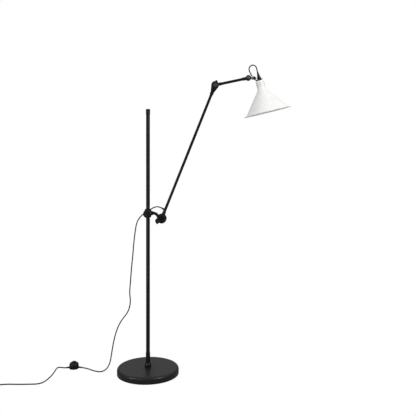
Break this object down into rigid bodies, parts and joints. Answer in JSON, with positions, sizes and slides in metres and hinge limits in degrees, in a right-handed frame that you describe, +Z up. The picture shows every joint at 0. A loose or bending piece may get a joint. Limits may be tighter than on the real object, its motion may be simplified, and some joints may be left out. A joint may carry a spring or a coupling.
{
  "type": "adjustable arm floor lamp",
  "caption": "Floor lamp: round weighted base, straight pole, sliding clamp, two-part adjustable arm and white cone shade on a tilting head.",
  "frame": {"origin": "on the floor under the middle of the round base, on the pole's axis", "axes": "+Z up the pole; +X towards the side that the arm leans to; -Y is the front, where the clamp knob is"},
  "size_m": [1.4135, 0.2998, 1.4352],
  "materials": {
    "black_powder_coat": "satin powder coat",
    "satin_black_metal": "satin black",
    "white_enamel": "satin white stove enamel",
    "cast_iron": "raw casting",
    "zinc_steel": "bright zinc plate",
    "black_oxide_steel": "black oxide",
    "nickel": "polished nickel plate",
    "grey_zinc": "matt grey zinc casting",
    "pin_nickel": "nickel-plated brass",
    "lamp_cap_nickel": "nickel-plated brass",
    "nylon": "black nylon",
    "base_foam": "dense foam",
    "knurled_black_plastic": "moulded, knurled rim",
    "moulded_black_plastic": "fine moulded texture",
    "moulded_black_pvc": "soft satin",
    "cord_pvc": "smooth sheath",
    "black_phenolic": "polished phenolic",
    "opal_glass": "opal"
  },
  "bodies": {
    "stand": {"base_pad": "base_foam", "base_cover": "black_powder_coat", "base_weight": "cast_iron", "base_washer": "zinc_steel", "base_nut": "zinc_steel", "pole_tube": "black_powder_coat", "pole_foot": "zinc_steel", "base_collar": "black_powder_coat", "pole_sleeve": "black_powder_coat", "pole_cap": "black_powder_coat", "cord_drop": "cord_pvc", "cord_floor": "cord_pvc", "cord_coil": "cord_pvc", "coil_tie": "cord_pvc", "cord_tail": "cord_pvc", "plug_body": "moulded_black_pvc", "plug_pins": "pin_nickel", "switch_base": "moulded_black_plastic", "switch_cover": "moulded_black_plastic", "switch_spring": "zinc_steel", "switch_reliefs": "moulded_black_pvc"},
    "switch_button": {"switch_button": "moulded_black_plastic"},
    "slider": {"pole_bush": "nylon", "cord_at_pole": "cord_pvc"},
    "clamp": {"clamp_body": "black_powder_coat", "bracket_spacer": "black_powder_coat", "bracket_screw": "zinc_steel", "shoulder_bracket": "black_powder_coat", "shoulder_bolt": "black_oxide_steel"},
    "clamp_knob": {"clamp_knob": "knurled_black_plastic", "clamp_knob_stud": "zinc_steel"},
    "shoulder_lever": {"shoulder_lever": "black_powder_coat"},
    "long_arm": {"shoulder_eye": "black_powder_coat", "long_arm_tube": "black_powder_coat", "arm_gland": "moulded_black_plastic", "elbow_fork": "black_powder_coat", "elbow_bolt": "satin_black_metal", "cord_at_arm": "cord_pvc"},
    "elbow_lever": {"elbow_lever": "black_powder_coat"},
    "short_arm": {"elbow_eye": "black_powder_coat", "short_arm_tube": "black_powder_coat", "head_fork": "black_powder_coat", "head_bolt": "nickel"},
    "head_thumb_nut": {"head_thumb_nut": "satin_black_metal"},
    "head_pivot": {"head_stem": "grey_zinc", "stem_collar": "grey_zinc", "stem_nut": "nickel"},
    "head": {"shade_holder": "black_powder_coat", "holder_hub": "black_powder_coat", "hub_screw": "zinc_steel", "head_gland": "moulded_black_plastic", "nipple": "zinc_steel", "nipple_nut": "zinc_steel", "shade": "white_enamel", "lampholder": "black_phenolic", "lamp_cap": "lamp_cap_nickel", "lamp_glass": "opal_glass", "head_cord": "cord_pvc"}
  },
  "joints": [
    {"name": "clamp_slide", "type": "slide", "parent": "stand", "child": "slider", "axis": [0, 0, 1], "range_m": [-0.42, 0.435], "deforming": ["cord_drop"]},
    {"name": "clamp_swivel", "type": "hinge", "parent": "slider", "child": "clamp", "pos_m": [0, 0, 0.745], "axis": [0, 0, 1], "range_deg": [-150, 150], "deforming": ["cord_at_pole"]},
    {"name": "clamp_knob_turn", "type": "hinge", "parent": "clamp", "child": "clamp_knob", "pos_m": [0, -0.03, 0.745], "axis": [0, -1, 0], "range_deg": [0, 360]},
    {"name": "shoulder_pitch", "type": "hinge", "parent": "clamp", "child": "long_arm", "pos_m": [0.064, 0, 0.72], "axis": [0, 1, 0], "range_deg": [-20, 75], "deforming": ["cord_at_arm"]},
    {"name": "shoulder_lever_turn", "type": "hinge", "parent": "clamp", "child": "shoulder_lever", "pos_m": [0.064, 0, 0.72], "axis": [0, 1, 0], "range_deg": [0, 150]},
    {"name": "elbow_pitch", "type": "hinge", "parent": "long_arm", "child": "short_arm", "pos_m": [0.31207, 0, 1.34023], "axis": [0, 1, 0], "range_deg": [-70, 50]},
    {"name": "elbow_lever_turn", "type": "hinge", "parent": "long_arm", "child": "elbow_lever", "pos_m": [0.31207, 0, 1.34023], "axis": [0, 1, 0], "range_deg": [0, 150]},
    {"name": "head_tilt", "type": "hinge", "parent": "short_arm", "child": "head_pivot", "pos_m": [0.46662, 0, 1.37308], "axis": [0, -1, 0], "range_deg": [-50, 80]},
    {"name": "head_thumb_nut_turn", "type": "hinge", "parent": "short_arm", "child": "head_thumb_nut", "pos_m": [0.46662, 0, 1.37308], "axis": [0, 1, 0], "range_deg": [0, 360]},
    {"name": "head_roll", "type": "hinge", "parent": "head_pivot", "child": "head", "pos_m": [0.46662, 0, 1.37308], "axis": [1, 0, 0], "range_deg": [-90, 90], "deforming": ["head_cord"]},
    {"name": "switch_press", "type": "slide", "parent": "stand", "child": "switch_button", "axis": [0, 0, -1], "range_m": [0, 0.0025], "stiffness_N_per_m": 1500, "springref_m": -0.002, "deforming": ["switch_spring"]}
  ]
}
